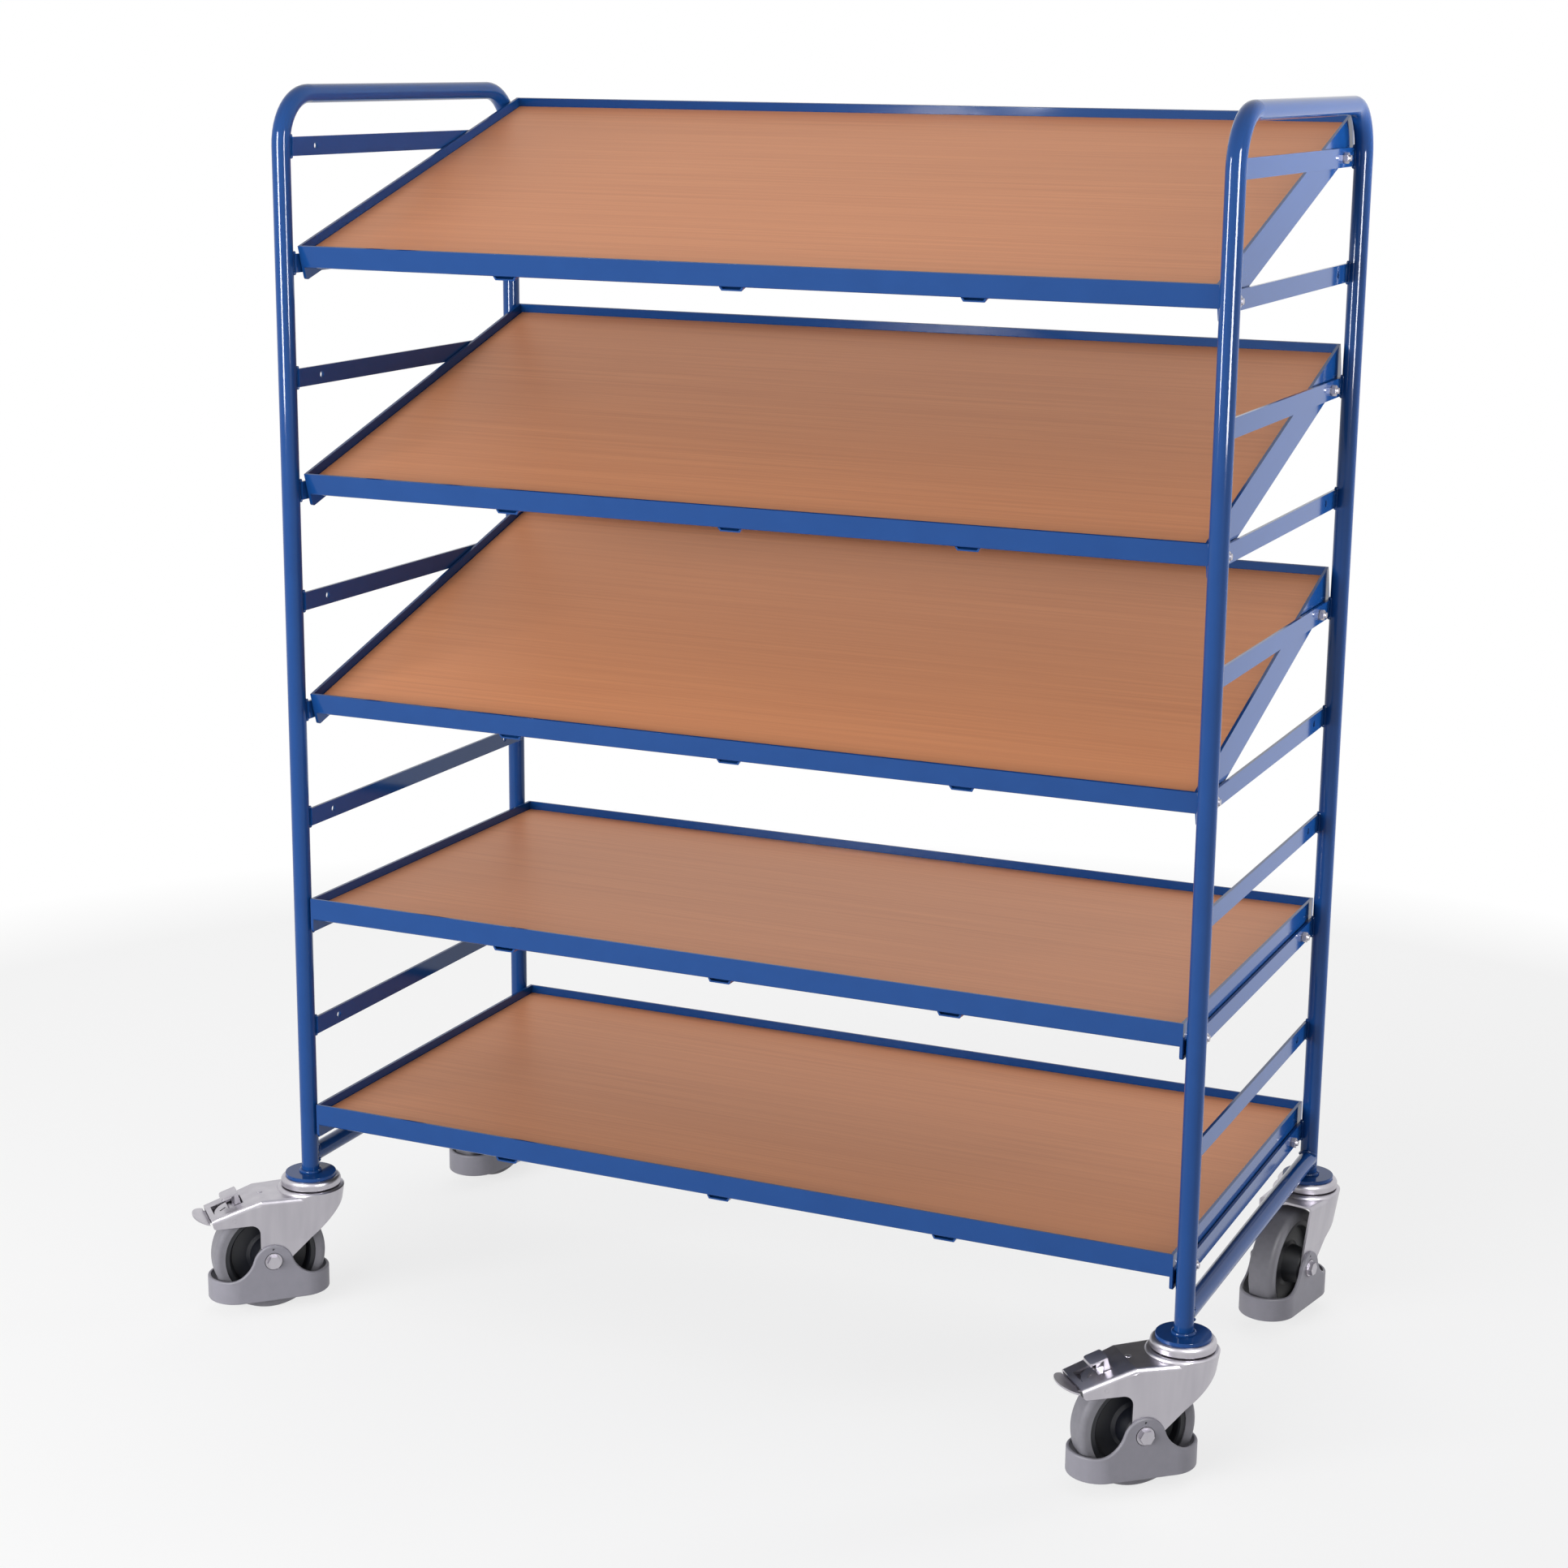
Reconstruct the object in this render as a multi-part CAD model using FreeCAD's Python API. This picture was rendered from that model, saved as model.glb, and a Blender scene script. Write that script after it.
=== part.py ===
import FreeCAD, Part
import math
import os

# Euro container trolley: two bent-tube side frames on swivel castors, five bolted shelves.
# Millimetres. X is left to right, -Y is the front, Z is up, and the floor is Z = 0.
os.makedirs("parts", exist_ok=True)
V = FreeCAD.Vector
ORIGIN = V(0, 0, 0)
X_AXIS = V(1, 0, 0)
Y_AXIS = V(0, 1, 0)
Z_AXIS = V(0, 0, 1)

# Side frames
SIDE_SPAN = 1300.0
POST_SPAN = 615.0
TUBE_DIA = 25.0
TUBE_WALL = 2.0
BEND_RADIUS = 68.0
WELD_GAP = 0.3
RAIL_HEIGHT = 25.0
RAIL_THICK = 4.0
RAIL_INSET = 12.5
RAIL_PITCH = 152.6
RAIL_HOLE_IN = 62.5
BOTTOM_TUBE_RISE = 24.0
LOW_RAIL_RISE = 42.4
HANDLE_RISE = 67.7
FOOT_DIA = 72.0
FOOT_THICK = 5.0
FOOT_EDGE = 0.8
BUSH_LENGTH = 30.0
BUSH_CLEARANCE = 0.2

# Shelves: number of the rear rail from the top, and whether the front sits one rail lower
SHELVES = ((0, True), (2, True), (4, True), (7, False), (9, False))
RIM_HEIGHT = 31.0
RIM_SHEET = 3.0
RIM_LEG = 30.0
RIM_BEND = 3.0
PLATE_HEIGHT = 48.0
PLATE_THICK = 4.0
PLATE_CORNER = 5.0
HOLE_BELOW_RIM = 37.5
REAR_HOLE_IN = 72.0
FRONT_HOLE_IN = 44.8
BOARD_THICK = 16.0
BOARD_CLEARANCE = 1.0
CROSSBAR_SPACING = 325.0
CROSSBAR_TOP = 37.0
CROSSBAR_BOTTOM = 28.0
CROSSBAR_DROP = 5.0
CROSSBAR_SHEET = 2.0
CROSSBAR_SETBACK = 1.0

# Shelf bolts
BOLT_DIA = 8.0
BOLT_HOLE_CLEARANCE = 0.5
BOLT_FLATS = 13.0
BOLT_HEAD = 5.3
NUT_HEIGHT = 6.5
BOLT_END = 3.0
SPACER_DIA = 16.0
SPACER_THICK = 1.5
THREAD_CLEARANCE = 0.1

# Castors
WHEEL_DIA = 160.0
TRAIL = 65.0
TYRE_WIDTH = 38.0
TYRE_DEPTH = 15.0
TREAD_ROUND = 8.0
CORE_GAP = 0.3
RIM_WIDTH = 34.0
RIM_DEPTH = 8.0
WEB_THICK = 12.0
HUB_RADIUS = 24.0
HUB_EDGE = 2.0
HUB_FLARE = 4.0
DISH_RISE = 3.0
DISH_WIDTH = 5.0
RIM_FLARE = 3.0
HUB_END_PLAY = 0.8
WHEEL_CLEARANCE = 9.0
FORK_SHEET = 3.0
CROWN_RADIUS = 47.5
CROWN_BEND = 6.0
CROWN_STEP = 4.0
COLLAR_FLARE = 1.5
CROWN_WALL = 13.5
FLANK_SLOPE = 4.9
LEG_HALF_WIDTH = 37.0
LEG_BOSS_RADIUS = 17.0
LEG_FILLET = 14.0
PLAIN_FRONT = 69.0
PLAIN_SLOPE = 81.0
VISOR_SLOPE = 17.7
VISOR_REACH = 150.0
VISOR_LIP = 13.0
VISOR_UNDERCUT = 3.0
VISOR_ROUND = 4.0
WINDOW_TIP = 7.0
WINDOW_LENGTH = 42.0
WINDOW_WIDTH = 30.0
TAB_TIP = 1.0
TAB_REACH = 20.0
TAB_SPAN = 25.0
TAB_SLOT_LENGTH = 10.0
TAB_SLOT_WIDTH = 3.0
TAB_SLOT_SLOPE = 29.0
RACE_GAP = 1.5
RACE_HEIGHT = 12.5
RACE_RADIUS = 42.5
RACE_ROLL = 6.0
BALL_DIA = 8.0
BALL_CIRCLE = 60.0
BALL_COUNT = 8
BALL_CLEARANCE = 0.15
KINGPIN_DIA = 20.0
KINGPIN_FLANGE_DIA = 40.0
KINGPIN_FLANGE = 4.8
KINGPIN_PLAY = 0.2
KINGPIN_FLATS = 19.0
KINGPIN_HEAD = 8.0
STUD_DIA = 12.0
RUNNING_CLEARANCE = 0.06
AXLE_DIA = 10.0
SLEEVE_WALL = 2.5
BEARING_WALL = 3.4
AXLE_FLATS = 17.0
AXLE_HEAD = 6.5
AXLE_WASHER_DIA = 24.0
AXLE_WASHER = 2.5
AXLE_END = 3.0

# Foot guards
GUARD_WALL = 4.0
GUARD_HALF_LENGTH = 87.0
GUARD_BOTTOM = 20.0
GUARD_RIM = 54.0
GUARD_EDGE = 2.5
GUARD_RECESS = 2.0
RECESS_CLEARANCE = 1.0
GUARD_HOLE_DIA = 3.0
GUARD_HOLE_RISE = 18.0
BELL_RADIUS = 29.0
BELL_RISE = 23.5
BELL_FLANK = 40.0
SHOULDER_GAP = 3.0

# Brakes of the front castors
PIVOT_IN = 32.0
PIVOT_DROP = 13.0
PIVOT_PIN_DIA = 6.0
PEDAL_SHEET = 2.5
PEDAL_WIDTH = 44.0
TONGUE_LENGTH = 21.0
TONGUE_WIDTH = 64.0
TONGUE_GAP = 1.5
TONGUE_LIFT = 5.0
PAD_WIDTH = 27.0
PAD_IN = 19.0
PAD_LENGTH = 23.0
PAD_HEIGHT = 17.0
PAD_LIP = 4.0
PAD_ROUND = 4.0
STEM_GAP = 3.0
STEM_LENGTH = 9.0
CHEEK_RADIUS = 6.5
SHOE_GAP = 4.8
SHOE_WIDTH = 30.0
SHOE_LENGTH = 14.0
SHOE_HEIGHT = 12.0

# Corner of each castor and the heading of its wheel, in degrees from +X
CASTORS = {
    "front_left": (-1, -1, 225.0),
    "front_right": (1, -1, 221.0),
    "rear_left": (-1, 1, 258.0),
    "rear_right": (1, 1, 259.0),
}

# Heights that follow from the sizes above
axle_z = WHEEL_DIA / 2
flat_top = WHEEL_DIA + WHEEL_CLEARANCE + FORK_SHEET
crown_top = flat_top + CROWN_STEP
race_bottom = crown_top + RACE_GAP
castor_height = race_bottom + RACE_HEIGHT
foot_top = castor_height + FOOT_THICK
bottom_tube_z = foot_top + BOTTOM_TUBE_RISE
rail_count = SHELVES[-1][0] + 1
top_rail_z = bottom_tube_z + LOW_RAIL_RISE + RAIL_PITCH * (rail_count - 1)
handle_z = top_rail_z + HANDLE_RISE
post_x = SIDE_SPAN / 2
post_y = POST_SPAN / 2
tube_radius = TUBE_DIA / 2
hole_y = post_y - RAIL_HOLE_IN
hole_span = 2 * hole_y
hole_radius = BOLT_DIA / 2 + BOLT_HOLE_CLEARANCE
rail_inner_x = post_x - RAIL_INSET - RAIL_THICK / 2
plate_outer_x = rail_inner_x - SPACER_THICK
plate_inner_x = plate_outer_x - PLATE_THICK
tilt = math.degrees(math.atan2(RAIL_PITCH, hole_span))
tilted_span = math.hypot(hole_span, RAIL_PITCH)
shelf_depth = REAR_HOLE_IN + tilted_span + FRONT_HOLE_IN


def export(node, solids):
    shape = solids[0] if len(solids) == 1 else Part.makeCompound(solids)
    shape.exportStep("parts/" + node + ".step")


def box(low, high):
    size = [b - a for a, b in zip(low, high)]
    return Part.makeBox(size[0], size[1], size[2], V(*low))


def prism(points, direction):
    return Part.Face(Part.makePolygon(points + points[:1])).extrude(direction)


def revolve(profile, base, axis):
    points = [V(radius, 0, height) for radius, height in profile]
    solid = Part.Face(Part.makePolygon(points + points[:1])).revolve(ORIGIN, Z_AXIS, 360)
    solid.Placement = FreeCAD.Placement(base, FreeCAD.Rotation(Z_AXIS, axis))
    return solid


def ring(outer, inner, height, base, axis):
    return Part.makeCylinder(outer, height, base, axis).cut(Part.makeCylinder(inner, height, base, axis))


def hexagon(flats, height, base, axis):
    corner = flats / math.sqrt(3)
    angles = [math.radians(60 * step) for step in range(6)]
    solid = prism([V(corner * math.cos(a), corner * math.sin(a), 0) for a in angles], V(0, 0, height))
    solid.Placement = FreeCAD.Placement(base, FreeCAD.Rotation(Z_AXIS, axis))
    return solid


def rail_z(number):
    return top_rail_z - RAIL_PITCH * number


# Side tubes: post, bend, handle, bend, post
def side_tube(x, radius):
    bend_z = handle_z - BEND_RADIUS
    bend_y = post_y - BEND_RADIUS
    corner = BEND_RADIUS * math.sqrt(0.5)
    path = Part.Wire([
        Part.makeLine(V(x, -post_y, foot_top), V(x, -post_y, bend_z)),
        Part.Arc(V(x, -post_y, bend_z), V(x, -bend_y - corner, bend_z + corner),
                 V(x, -bend_y, handle_z)).toShape(),
        Part.makeLine(V(x, -bend_y, handle_z), V(x, bend_y, handle_z)),
        Part.Arc(V(x, bend_y, handle_z), V(x, bend_y + corner, bend_z + corner),
                 V(x, post_y, bend_z)).toShape(),
        Part.makeLine(V(x, post_y, bend_z), V(x, post_y, foot_top)),
    ])
    section = Part.Wire(Part.makeCircle(radius, V(x, -post_y, foot_top), Z_AXIS))
    return path.makePipeShell([section], True, False)


# Rails: flat bars cut square against the posts, the top one trimmed to the bend
def rails(side):
    reach = tube_radius ** 2 - (RAIL_INSET - RAIL_THICK / 2) ** 2
    end_y = post_y - math.sqrt(max(reach, 0)) - WELD_GAP
    faces = sorted((side * rail_inner_x, side * (rail_inner_x + RAIL_THICK)))
    bars = []
    for number in range(rail_count):
        z = rail_z(number)
        bar = box((faces[0], -end_y, z - RAIL_HEIGHT / 2), (faces[1], end_y, z + RAIL_HEIGHT / 2))
        for y in (-hole_y, hole_y):
            bar = bar.cut(Part.makeCylinder(hole_radius, RAIL_THICK, V(faces[0], y, z), X_AXIS))
        bars.append(bar)
    bars[0] = bars[0].cut(side_tube(side * post_x, tube_radius + WELD_GAP))
    return bars


bottom_tubes = []
foot_plates = []
for side, name in ((-1, "left"), (1, "right")):
    x = side * post_x
    tube = side_tube(x, tube_radius).cut(side_tube(x, tube_radius - TUBE_WALL))
    export(name + "_side_tube", [tube])
    export(name + "_side_rails", rails(side))
    cross = ring(tube_radius, tube_radius - TUBE_WALL, POST_SPAN, V(x, -post_y, bottom_tube_z), Y_AXIS)
    for y in (-post_y, post_y):
        cross = cross.cut(Part.makeCylinder(tube_radius + WELD_GAP, TUBE_DIA * 2, V(x, y, foot_top), Z_AXIS))
        plate = Part.makeCylinder(FOOT_DIA / 2, FOOT_THICK, V(x, y, castor_height), Z_AXIS)
        plate = plate.makeFillet(FOOT_EDGE, plate.Edges)
        stud = STUD_DIA / 2 + THREAD_CLEARANCE
        stud_hole = Part.makeCylinder(stud, FOOT_THICK, V(x, y, castor_height), Z_AXIS)
        foot_plates.append(plate.cut(stud_hole))
    bottom_tubes.append(cross)
export("bottom_tubes", bottom_tubes)
export("foot_plates", foot_plates)

# Shelves, each modelled level with its rear bolt axis on the origin
rim_top = HOLE_BELOW_RIM
rim_bottom = rim_top - RIM_HEIGHT
rear_y = REAR_HOLE_IN
front_y = REAR_HOLE_IN - shelf_depth
board_bottom = rim_bottom + RIM_SHEET


# Steel angle with a bent corner, its upright on the outside
def rim(y, inward):
    leg = y + inward * RIM_LEG
    inner = y + inward * RIM_SHEET
    outline = [V(-plate_inner_x, y, rim_top), V(-plate_inner_x, y, rim_bottom),
               V(-plate_inner_x, leg, rim_bottom),
               V(-plate_inner_x, leg, board_bottom), V(-plate_inner_x, inner, board_bottom),
               V(-plate_inner_x, inner, rim_top)]
    angle = prism(outline, V(2 * plate_inner_x, 0, 0))
    bends = [e for e in angle.Edges if e.Length > plate_inner_x and abs(e.CenterOfMass.y - y) < RIM_SHEET / 2
             and abs(e.CenterOfMass.z - rim_bottom) < RIM_SHEET / 2]
    return angle.makeFillet(RIM_BEND - WELD_GAP, bends)


# End plate with a round rear hole and a front slot that takes the level and the tilted setting
def end_plate(side):
    faces = sorted((side * plate_inner_x, side * plate_outer_x))
    plate = box((faces[0], front_y, rim_top - PLATE_HEIGHT), (faces[1], rear_y, rim_top))
    low = [e for e in plate.Edges if e.CenterOfMass.z < rim_bottom and e.Length < PLATE_THICK * 1.01
           and abs(e.CenterOfMass.x - side * (plate_inner_x + PLATE_THICK / 2)) < WELD_GAP]
    plate = plate.makeFillet(PLATE_CORNER, low)
    plate = plate.cut(Part.makeCylinder(hole_radius, PLATE_THICK, V(faces[0], 0, 0), X_AXIS))
    for y in (-hole_span, -tilted_span):
        plate = plate.cut(Part.makeCylinder(hole_radius, PLATE_THICK, V(faces[0], y, 0), X_AXIS))
    return plate.cut(box((faces[0], -tilted_span, -hole_radius), (faces[1], -hole_span, hole_radius)))


# Trough under the board, notched over the rim legs at both ends
def crossbar(x):
    bottom = rim_bottom - CROSSBAR_DROP
    outline = [V(x - CROSSBAR_TOP / 2, 0, board_bottom), V(x - CROSSBAR_BOTTOM / 2, 0, bottom),
               V(x + CROSSBAR_BOTTOM / 2, 0, bottom), V(x + CROSSBAR_TOP / 2, 0, board_bottom),
               V(x + CROSSBAR_TOP / 2 - CROSSBAR_SHEET, 0, board_bottom),
               V(x + CROSSBAR_BOTTOM / 2 - CROSSBAR_SHEET, 0, bottom + CROSSBAR_SHEET),
               V(x - CROSSBAR_BOTTOM / 2 + CROSSBAR_SHEET, 0, bottom + CROSSBAR_SHEET),
               V(x - CROSSBAR_TOP / 2 + CROSSBAR_SHEET, 0, board_bottom)]
    trough = prism(outline, V(0, shelf_depth - 2 * CROSSBAR_SETBACK, 0))
    trough.translate(V(0, front_y + CROSSBAR_SETBACK, 0))
    for start in (front_y, rear_y - RIM_LEG):
        notch = box((x - CROSSBAR_TOP, start, rim_bottom), (x + CROSSBAR_TOP, start + RIM_LEG, rim_top))
        trough = trough.cut(notch)
    return trough


shelf_frame = [rim(front_y, 1), rim(rear_y, -1), end_plate(-1), end_plate(1)]
shelf_crossbars = [crossbar(x) for x in (-CROSSBAR_SPACING, 0, CROSSBAR_SPACING)]
board_half = plate_inner_x - BOARD_CLEARANCE
board_inset = RIM_SHEET + BOARD_CLEARANCE
shelf_board = box((-board_half, front_y + board_inset, board_bottom),
                  (board_half, rear_y - board_inset, board_bottom + BOARD_THICK))


def placed(solid, angle, z):
    copy = solid.copy()
    copy.rotate(ORIGIN, X_AXIS, angle)
    copy.translate(V(0, hole_y, z))
    return copy


# Bolt from inside the end plate, spacer between plate and rail, nut outside the rail
shelf_bolts = []
shelf_nuts = []
bolt_reach = PLATE_THICK + SPACER_THICK + RAIL_THICK + NUT_HEIGHT + BOLT_END


def fasten(side, y, z):
    out = V(side, 0, 0)
    seat = V(side * plate_inner_x, y, z)
    bolt = Part.makeCylinder(BOLT_DIA / 2, bolt_reach, seat, out)
    shelf_bolts.append(bolt.fuse(hexagon(BOLT_FLATS, BOLT_HEAD, seat - out * BOLT_HEAD, out)))
    bore = BOLT_DIA / 2 + THREAD_CLEARANCE
    nut_seat = V(side * (rail_inner_x + RAIL_THICK), y, z)
    nut = hexagon(BOLT_FLATS, NUT_HEIGHT, nut_seat, out)
    shelf_nuts.append(nut.cut(Part.makeCylinder(bore, NUT_HEIGHT, nut_seat, out)))
    shelf_nuts.append(ring(SPACER_DIA / 2, bore, SPACER_THICK, V(side * plate_outer_x, y, z), out))


for order, (rear_rail, tilted) in enumerate(SHELVES, 1):
    angle = tilt if tilted else 0
    name = "shelf_%d" % order
    z = rail_z(rear_rail)
    export(name + "_frame", [placed(s, angle, z) for s in shelf_frame])
    export(name + "_crossbars", [placed(s, angle, z) for s in shelf_crossbars])
    export(name + "_board", [placed(shelf_board, angle, z)])
    for side in (-1, 1):
        fasten(side, hole_y, z)
        fasten(side, -hole_y, rail_z(rear_rail + 1) if tilted else z)
export("shelf_bolts", shelf_bolts)
export("shelf_nuts", shelf_nuts)

# Castors, each modelled with the swivel axis on Z and the wheel trailing towards +X
hub = V(TRAIL, 0, axle_z)
leg_inner = LEG_HALF_WIDTH - FORK_SHEET
bell_top = axle_z + BELL_RISE
shoulder_z = bell_top + SHOULDER_GAP
slope = math.radians(VISOR_SLOPE)
visor_offset = WHEEL_DIA / 2 + WHEEL_CLEARANCE + FORK_SHEET
visor_knee = TRAIL + (visor_offset - (flat_top - axle_z) * math.cos(slope)) / math.sin(slope)
window_front = VISOR_REACH - WINDOW_TIP
window_rear = window_front - WINDOW_LENGTH
tab_rear = window_front - TAB_TIP - TAB_REACH
pivot_x = VISOR_REACH - PIVOT_IN
tongue_reach = VISOR_REACH + TONGUE_LENGTH
pad_front = VISOR_REACH - PAD_IN
stem_rear = window_rear + STEM_GAP
stem_front = stem_rear + STEM_LENGTH
guard_outer = LEG_HALF_WIDTH + GUARD_WALL
washer_seat = guard_outer - GUARD_RECESS


# Height of the visor's upper face above the floor
def visor_z(x):
    return axle_z + (visor_offset - (x - TRAIL) * math.sin(slope)) / math.cos(slope)


def side_line(start, end):
    return Part.makeLine(V(start[0], 0, start[1]), V(end[0], 0, end[1]))


def side_arc(centre, radius, start, end):
    angles = [math.radians(a) for a in (start, (start + end) / 2, end)]
    points = [V(centre[0] + radius * math.cos(a), 0, centre[1] + radius * math.sin(a)) for a in angles]
    return Part.Arc(*points).toShape()


def side_prism(edges, width):
    face = Part.Face(Part.Wire(edges))
    face.translate(V(0, -width / 2, 0))
    return face.extrude(V(0, width, 0))


# Closed line of points and arcs in the side view, arcs given as (centre, radius, start, end)
def side_wire(items):
    edges = []
    ends = []
    for item in items:
        if len(item) == 4:
            arc = side_arc(*item)
            ends.append((arc, arc.Vertexes[0].Point, arc.Vertexes[-1].Point))
        else:
            point = V(item[0], 0, item[1])
            ends.append((None, point, point))
    for number, (arc, start, end) in enumerate(ends):
        if arc:
            edges.append(arc)
        following = ends[(number + 1) % len(ends)][1]
        if end.distanceToPoint(following) > 1e-6:
            edges.append(Part.makeLine(end, following))
    return edges


# Plan outline of the fork: round at the back, flanks closing in by the flare angle
def fork_outline(radius, flare, reach, z):
    a = math.radians(flare)
    tangent = V(radius * math.sin(a), radius * math.cos(a), z)
    mirror = V(tangent.x, -tangent.y, z)
    front = radius / math.cos(a) - reach * math.tan(a)
    corners = [mirror, V(reach, -front, z), V(reach, front, z), tangent]
    lines = [Part.makeLine(p, q) for p, q in zip(corners, corners[1:])]
    return Part.Wire([Part.Arc(tangent, V(-radius, 0, z), mirror).toShape()] + lines)


# Drafted block from the round crown down to the parallel legs
def fork_block(inset, reach):
    leg = fork_outline(LEG_HALF_WIDTH - inset, 0, reach, shoulder_z)
    crown = fork_outline(CROWN_RADIUS - inset, FLANK_SLOPE, reach, crown_top)
    upper = Part.makeLoft([leg, crown], True, True)
    return upper.fuse(Part.Face(leg).extrude(V(0, 0, -shoulder_z)))


# Side view of the fork: top line with or without visor, front of the leg, axle boss, raked back
def fork_profile(braked):
    back = -2 * CROWN_RADIUS
    rise = flat_top - CROWN_WALL - axle_z
    run = TRAIL + CROWN_RADIUS
    rake = math.atan2(rise, run) + math.asin(LEG_BOSS_RADIUS / math.hypot(rise, run))
    foot = (TRAIL - LEG_BOSS_RADIUS * math.cos(rake), axle_z - LEG_BOSS_RADIUS * math.sin(rake))
    heel = (back, foot[1] + (foot[0] - back) * math.tan(rake))
    boss = ((TRAIL, axle_z), LEG_BOSS_RADIUS, 0, math.degrees(rake) - 180)
    leg_x = TRAIL + LEG_BOSS_RADIUS
    if braked:
        skirt = visor_z(VISOR_REACH) - VISOR_LIP
        front = [(visor_knee, flat_top), (VISOR_REACH, visor_z(VISOR_REACH)),
                 (VISOR_REACH - VISOR_UNDERCUT, skirt),
                 ((leg_x + LEG_FILLET, skirt - LEG_FILLET), LEG_FILLET, 90, 180)]
    else:
        drop = (leg_x - PLAIN_FRONT) * math.tan(math.radians(PLAIN_SLOPE))
        front = [(PLAIN_FRONT, flat_top), (leg_x, flat_top - drop)]
    return side_wire([(back, flat_top)] + front + [boss, heel])


# Round the pressed shoulder between the top line and the flanks
def round_shoulder(block, braked, depth):
    def on_top(point):
        level = visor_z(point.x) if braked and point.x > visor_knee else flat_top
        return abs(level - depth - point.z) < FORK_SHEET / 3

    def on_flank(edge):
        middle = edge.valueAt((edge.FirstParameter + edge.LastParameter) / 2)
        return on_top(middle) and (middle.x < 0 or abs(middle.y) > KINGPIN_DIA)

    edges = [e for e in block.Edges if on_flank(e) and on_top(e.Vertexes[0].Point)]
    return block.makeFillet(CROWN_BEND - depth, edges)


# Round collar pressed up out of the crown under the swivel head
def crown_collar(whole):
    base = V(0, 0, flat_top - 2 * CROWN_BEND)
    collar = Part.makeCylinder(CROWN_RADIUS + COLLAR_FLARE, crown_top - base.z, base, Z_AXIS)
    rim = [e for e in collar.Edges if e.CenterOfMass.z > flat_top]
    return collar.makeFillet(CROWN_BEND, rim).common(whole)


# Space under the sheet of the crown and the visor, open below and in front
def fork_hollow(braked):
    reach = VISOR_REACH + RACE_RADIUS
    drop = FORK_SHEET / math.cos(slope)
    top = flat_top - FORK_SHEET
    knee = visor_knee + (drop - FORK_SHEET) / math.tan(slope) if braked else reach
    end = visor_z(reach) - drop if braked else top
    outline = [(-reach, top), (min(knee, reach - 1), top), (reach, end), (reach, -reach), (-reach, -reach)]
    hollow = fork_block(FORK_SHEET, reach).common(side_prism(side_wire(outline), 2 * reach))
    pocket = Part.makeCylinder(CROWN_RADIUS - CROWN_BEND, CROWN_STEP + FORK_SHEET,
                               V(0, 0, top - FORK_SHEET), Z_AXIS)
    return round_shoulder(hollow, braked, FORK_SHEET).fuse(pocket)


# Upright column with an oval plan, quarter and half ovals are cut from it
def oval_column(x, y, reach, span):
    stretch = FreeCAD.Matrix()
    stretch.scale(V(reach, span, 2 * crown_top))
    column = Part.makeCylinder(1, 1).transformGeometry(stretch)
    column.translate(V(x, y, 0))
    return column


# Window of the visor, with a slotted quarter-oval tab left standing in its near front corner
def visor_window():
    half = WINDOW_WIDTH / 2
    window = box((window_rear, -half, axle_z), (window_front, half, crown_top))
    corner = box((tab_rear, -half, axle_z), (window_front, half, crown_top))
    tab = corner.common(oval_column(tab_rear, half, TAB_REACH, TAB_SPAN))
    slot_x = TAB_SLOT_LENGTH / 2
    slot_y = TAB_SLOT_WIDTH / 2
    slot = box((-slot_x, -slot_y, axle_z), (slot_x, slot_y, crown_top))
    slot.rotate(V(0, 0, 0), Z_AXIS, TAB_SLOT_SLOPE)
    slot.translate(V(tab_rear + TAB_REACH * 3 / 8, half - TAB_SPAN / 4, 0))
    return window.cut(tab.cut(slot))


def fork(braked):
    width = 4 * CROWN_RADIUS
    whole = fork_block(0, VISOR_REACH + RACE_RADIUS)
    block = whole.common(side_prism(fork_profile(braked), width))
    if braked:
        corner = V(VISOR_REACH - VISOR_UNDERCUT, 0, visor_z(VISOR_REACH) - VISOR_LIP)
        tip = [e for e in block.Edges if e.distToShape(Part.Vertex(corner))[0] < FORK_SHEET]
        block = block.makeFillet(VISOR_ROUND, tip)
    shell = round_shoulder(block, braked, 0).fuse(crown_collar(whole)).cut(fork_hollow(braked))
    swivel = KINGPIN_DIA / 2 + RUNNING_CLEARANCE
    shell = shell.cut(Part.makeCylinder(swivel, crown_top, V(0, 0, axle_z), Z_AXIS))
    axle_hole = Part.makeCylinder(AXLE_DIA / 2 + THREAD_CLEARANCE, width, hub - Y_AXIS * width / 2, Y_AXIS)
    shell = shell.cut(axle_hole)
    if braked:
        shell = shell.cut(visor_window())
        pin = PIVOT_PIN_DIA / 2 + THREAD_CLEARANCE
        shell = shell.cut(Part.makeCylinder(pin, width, pivot - Y_AXIS * width / 2, Y_AXIS))
    return shell


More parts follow.
